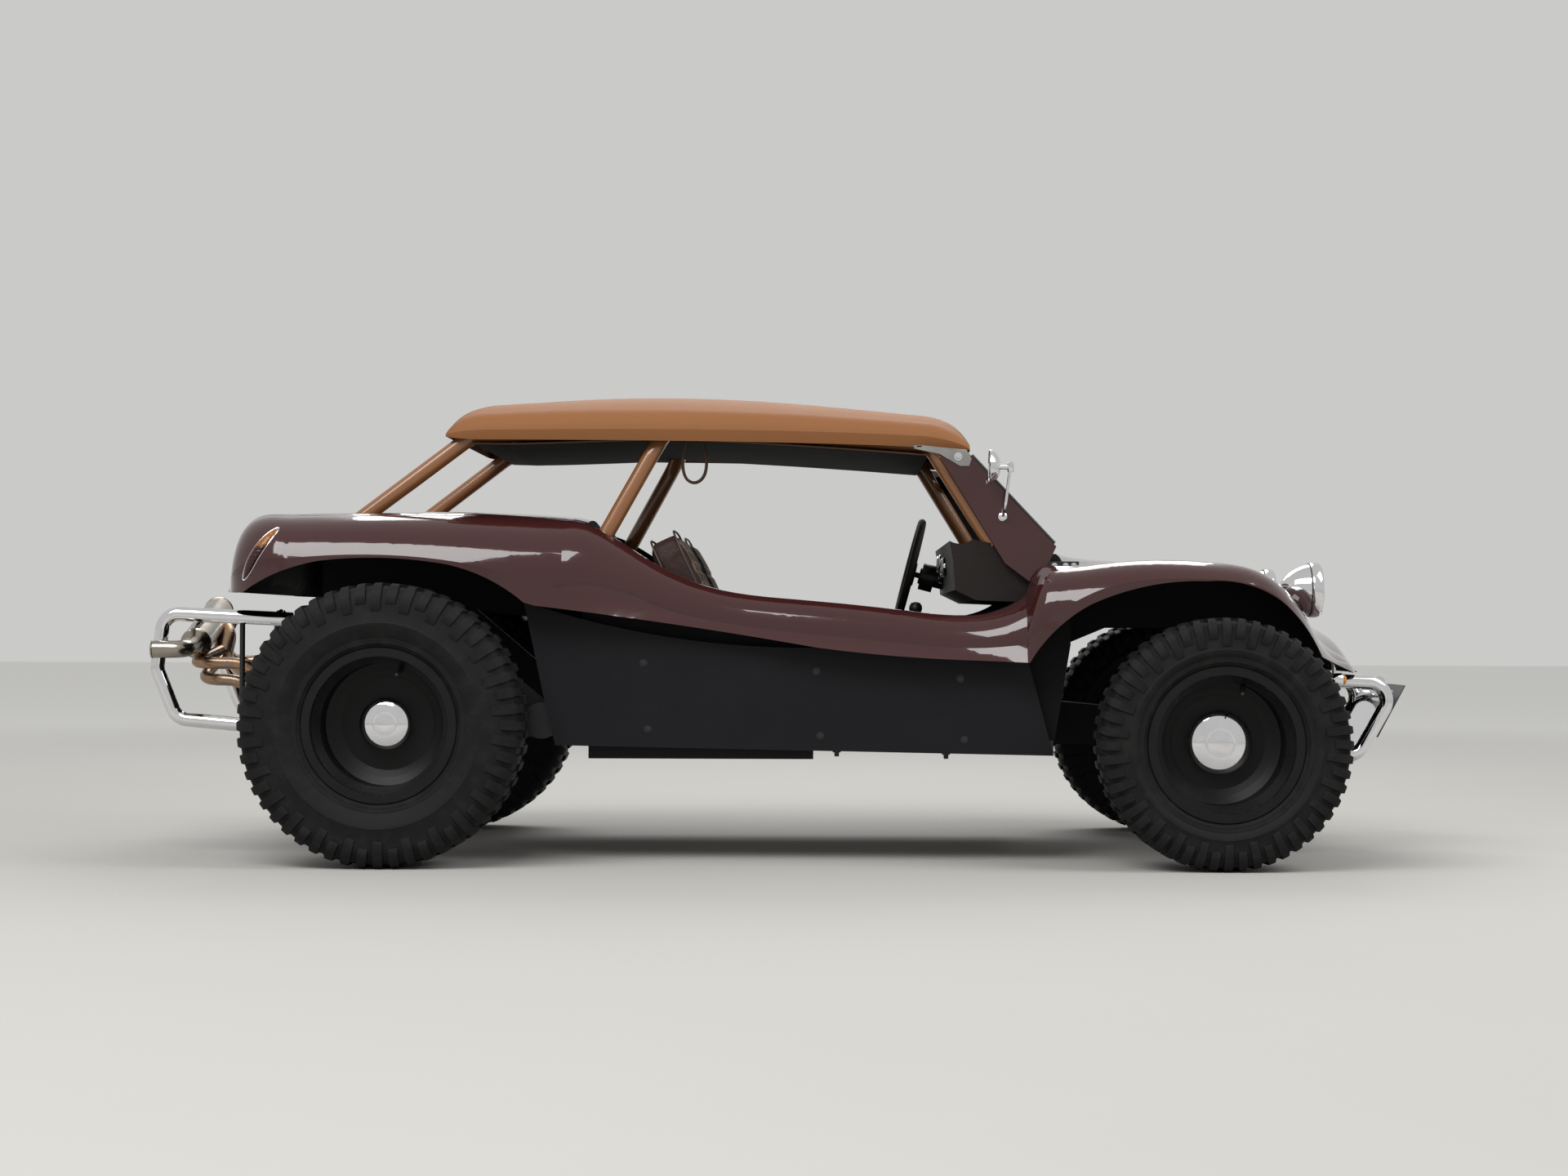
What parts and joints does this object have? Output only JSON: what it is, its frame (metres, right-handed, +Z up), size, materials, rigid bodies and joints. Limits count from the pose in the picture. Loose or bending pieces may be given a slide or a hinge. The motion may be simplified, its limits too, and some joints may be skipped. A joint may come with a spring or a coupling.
{
  "type": "dune buggy",
  "caption": "Open dune buggy: moulded tub on a floor pan, hard top on a roll cage, deep-dished steel wheels with mud tyres, rear engine, tubular bumpers.",
  "frame": {"origin": "on the ground, on the centre plane, half way between the rearmost and the foremost point of the car", "axes": "+X forward, +Y to the left, +Z up"},
  "size_m": [3.8019, 1.814, 1.4021],
  "materials": {
    "bare_steel": "brushed",
    "black_panel": "matte",
    "black_steel": "satin",
    "black_trim": "satin",
    "body_paint": "gloss",
    "cage_paint": "gloss",
    "cast_alloy": "cast",
    "chrome": "polished",
    "dash_trim": "matte",
    "drum_iron": "matte",
    "glass": "clear",
    "plate_blank": "satin",
    "rim_paint": "matte",
    "roof_skin": "matte",
    "seat_leather": "satin",
    "stainless": "polished",
    "tyre": "matte",
    "wheel_rim_trim": "satin"
  },
  "bodies": {
    "chassis": {"body_tub": "body_paint", "dashboard": "dash_trim", "engine": "cast_alloy", "floor_pan": "black_steel", "front_arms": "black_steel", "front_beam": "black_steel", "front_bumper": "chrome", "front_plate": "plate_blank", "front_seats": "seat_leather", "gearbox": "cast_alloy", "headlamp_shells": "chrome", "main_hoop": "cage_paint", "muffler": "stainless", "rear_axle": "black_steel", "rear_bumper": "stainless", "rear_stays": "cage_paint", "roof_shell": "roof_skin", "screen_stays": "cage_paint", "shock_absorbers": "black_steel", "side_panels": "black_panel", "steering_column": "black_trim", "windscreen_frame": "body_paint", "windscreen_glass": "glass"},
    "wheel_front_left": {"tyre_front_left": "tyre", "rim_front_left": "rim_paint", "hub_cap_front_left": "chrome", "brake_drum_front_left": "drum_iron"},
    "wheel_front_right": {"tyre_front_right": "tyre", "rim_front_right": "rim_paint", "hub_cap_front_right": "chrome", "brake_drum_front_right": "drum_iron"},
    "wheel_rear_left": {"tyre_rear_left": "tyre", "rim_rear_left": "rim_paint", "hub_cap_rear_left": "chrome", "brake_drum_rear_left": "drum_iron"},
    "wheel_rear_right": {"tyre_rear_right": "tyre", "rim_rear_right": "rim_paint", "hub_cap_rear_right": "chrome", "brake_drum_rear_right": "drum_iron"},
    "left_knuckle": {"knuckle_left": "black_steel"},
    "right_knuckle": {"knuckle_right": "black_steel"},
    "steering_rods": {"tie_rods": "bare_steel"},
    "steering_wheel_body": {"steering_wheel": "wheel_rim_trim"}
  },
  "joints": [
    {"name": "steer_left", "type": "hinge", "parent": "chassis", "child": "left_knuckle", "pos_m": [1.256, 0.585, 0.3595], "axis": [0, 0, 1], "range_deg": [-27, 27]},
    {"name": "steer_right", "type": "hinge", "parent": "chassis", "child": "right_knuckle", "pos_m": [1.256, -0.585, 0.3595], "axis": [0, 0, 1], "range_deg": [-27, 27]},
    {"name": "tie_rod_travel", "type": "slide", "parent": "chassis", "child": "steering_rods", "axis": [0, 1, 0], "range_m": [-0.042, 0.042]},
    {"name": "steering_wheel_turn", "type": "hinge", "parent": "chassis", "child": "steering_wheel_body", "pos_m": [0.394, 0.33, 0.868], "axis": [-0.9681, 0, 0.2504], "range_deg": [-378, 378]},
    {"name": "spin_front_left", "type": "hinge", "parent": "left_knuckle", "child": "wheel_front_left", "pos_m": [1.256, 0.77, 0.3595], "axis": [0, 1, 0], "continuous": true},
    {"name": "spin_front_right", "type": "hinge", "parent": "right_knuckle", "child": "wheel_front_right", "pos_m": [1.256, -0.77, 0.3595], "axis": [0, 1, 0], "continuous": true},
    {"name": "spin_rear_left", "type": "hinge", "parent": "chassis", "child": "wheel_rear_left", "pos_m": [-1.144, 0.762, 0.406], "axis": [0, 1, 0], "continuous": true},
    {"name": "spin_rear_right", "type": "hinge", "parent": "chassis", "child": "wheel_rear_right", "pos_m": [-1.144, -0.762, 0.406], "axis": [0, 1, 0], "continuous": true}
  ],
  "couplings": [
    {"joint": "steer_right", "follows": "steer_left", "ratio": 1},
    {"joint": "tie_rod_travel", "follows": "steer_left", "m_per_rad": 0.08863},
    {"joint": "steering_wheel_turn", "follows": "steer_left", "ratio": 14}
  ]
}
